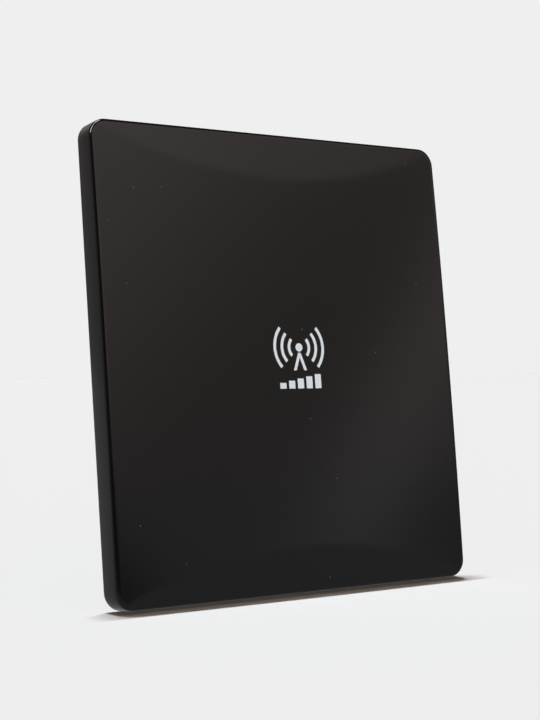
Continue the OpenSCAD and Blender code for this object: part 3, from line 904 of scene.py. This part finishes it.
def studio_world(settings):
    """Pale backdrop for the camera, and a room with darker parts for the panel's reflections."""
    world = bpy.data.worlds.new("Studio")
    world.use_nodes = True
    world.node_tree.nodes.clear()
    t = Tree(world.node_tree)

    def glow(tint, strength):
        inputs = {"Color": tint, "Strength": strength}
        return t.add("ShaderNodeBackground", inputs).outputs[0]

    path = t.add("ShaderNodeLightPath").outputs
    where = t.add("ShaderNodeTexCoord").outputs["Generated"]
    direction = t.add("ShaderNodeSeparateXYZ", {0: where}).outputs
    level, up = room_reflection(t, direction, settings.background)
    room = glow(mix_colour(t, ramp(t, up, *WARMTH_STEP), LOW_TINT, HIGH_TINT), level)
    fill = glow((*FILL_TINT, 1.0), settings.sky_level)
    backdrop = glow((1.0, 1.0, 1.0, 1.0), settings.background)
    lit = t.add("ShaderNodeMixShader", {0: path["Is Glossy Ray"], 1: fill, 2: room}).outputs[0]
    seen = t.largest(path["Is Camera Ray"], path["Is Transmission Ray"])
    final = t.add("ShaderNodeMixShader", {0: seen, 1: lit, 2: backdrop}).outputs[0]
    t.add("ShaderNodeOutputWorld", {"Surface": final})
    return world


def far_light(name, level, tint, slope, heading, spread, depth):
    """Distant oblong light that shines straight down where its slope is 0. Angles are in degrees.

    The heading turns the slope about the vertical, the spread and the depth are how wide and
    how deep the light looks, and its level is that on a surface which faces it."""
    light = bpy.data.lights.new(name, "AREA")
    light.shape = "RECTANGLE"
    light.size = 2 * LIGHT_DISTANCE * math.tan(math.radians(spread / 2))
    light.size_y = 2 * LIGHT_DISTANCE * math.tan(math.radians(depth / 2))
    light.energy = level * math.pi**2 * LIGHT_DISTANCE**2
    light.color = tint
    obj = bpy.data.objects.new(name, light)
    turn = Euler((math.radians(slope), 0, math.radians(heading)))
    obj.rotation_euler = turn
    obj.location = turn.to_matrix() @ Vector((0, 0, LIGHT_DISTANCE))
    obj.visible_glossy = False
    bpy.context.scene.collection.objects.link(obj)


def studio_lights(settings):
    """Light from overhead and slightly behind, which gives the narrow shadow in front of the
    panel, and a low soft light from the camera's side for what is printed on the front."""
    far_light(
        "top_light", settings.top_level, TOP_LIGHT_TINT,
        slope=-8.7, heading=0, spread=8.0, depth=0.5,
    )
    far_light(
        "front_light", settings.front_level, FRONT_LIGHT_TINT,
        slope=87.0, heading=-34.6, spread=8.0, depth=5.0,
    )


def floor_material(base):
    """Plain matt floor. For glossy rays it glows at a fixed darker level instead, a painted
    reflection that no shadow reaches.
    """
    material = bpy.data.materials.new("Pale Floor")
    material.use_nodes = True
    material.node_tree.nodes.clear()
    t = Tree(material.node_tree)
    pale = t.add("ShaderNodeBsdfDiffuse", {"Color": (*base, 1.0)}).outputs[0]
    # Painted reflection: glossy rays see the floor as a fixed glow, which no shadow darkens.
    painted_reflection_glow = t.add("ShaderNodeEmission", {"Color": (*PAINTED_FLOOR_REFLECTION, 1.0)}).outputs[0]
    mirrored = t.add("ShaderNodeLightPath").outputs["Is Glossy Ray"]
    mixed = t.add("ShaderNodeMixShader", {0: mirrored, 1: pale, 2: painted_reflection_glow}).outputs[0]
    t.add("ShaderNodeOutputMaterial", {"Surface": mixed})
    return material


class ANTENNA_OT_stage(bpy.types.Operator):
    """Sets up the pale floor, the studio light and the camera"""

    bl_idname = "antenna.stage"
    bl_label = "Stage"

    def execute(self, context):
        scene = context.scene
        settings = scene.studio_settings
        mesh = bpy.data.meshes.new("floor")
        corners = [
            (x * FLOOR_HALF, y * FLOOR_HALF, 0) for x, y in ((-1, -1), (1, -1), (1, 1), (-1, 1))
        ]
        mesh.from_pydata(corners, [], [(0, 1, 2, 3)])
        mesh.materials.append(floor_material(tuple(scene.panel_colours.floor)))
        floor = bpy.data.objects.new("floor", mesh)
        scene.collection.objects.link(floor)
        scene.world = studio_world(settings)
        studio_lights(settings)
        camera = bpy.data.cameras.new("photo_camera")
        camera.sensor_fit = "VERTICAL"
        camera.sensor_height = 24
        camera.lens = settings.focal_pixels / settings.image_height * camera.sensor_height
        camera.dof.use_dof = False
        view = bpy.data.objects.new("photo_camera", camera)
        view.location = settings.camera_place
        forward = Vector(settings.camera_forward)
        view.rotation_euler = forward.to_track_quat("-Z", "Y").to_euler()
        scene.collection.objects.link(view)
        scene.camera = view
        scene.view_settings.view_transform = "Standard"
        return {"FINISHED"}


class ANTENNA_PT_sidebar(bpy.types.Panel):
    bl_label = "Panel Antenna"
    bl_idname = "ANTENNA_PT_sidebar"
    bl_space_type = "VIEW_3D"
    bl_region_type = "UI"
    bl_category = "Antenna"

    def draw(self, context):
        for operator in OPERATORS:
            self.layout.operator(operator.bl_idname)


GROUPS = {
    "panel_shape": PanelShape,
    "panel_colours": PanelColours,
    "studio_settings": StudioSettings,
}
OPERATORS = [
    ANTENNA_OT_front_cover,
    ANTENNA_OT_front_posts,
    ANTENNA_OT_front_mark,
    ANTENNA_OT_finishes,
    ANTENNA_OT_stage,
]


def register():
    for cls in [*GROUPS.values(), *OPERATORS, ANTENNA_PT_sidebar]:
        bpy.utils.register_class(cls)
    for name, group in GROUPS.items():
        setattr(bpy.types.Scene, name, PointerProperty(type=group))


def unregister():
    for name in GROUPS:
        delattr(bpy.types.Scene, name)
    for cls in reversed([*GROUPS.values(), *OPERATORS, ANTENNA_PT_sidebar]):
        bpy.utils.unregister_class(cls)


def main():
    register()
    bpy.ops.antenna.front_cover()
    bpy.ops.antenna.front_posts()
    bpy.ops.antenna.front_mark()
    bpy.ops.antenna.finishes()
    bpy.ops.antenna.stage()


if __name__ == "__main__":
    main()
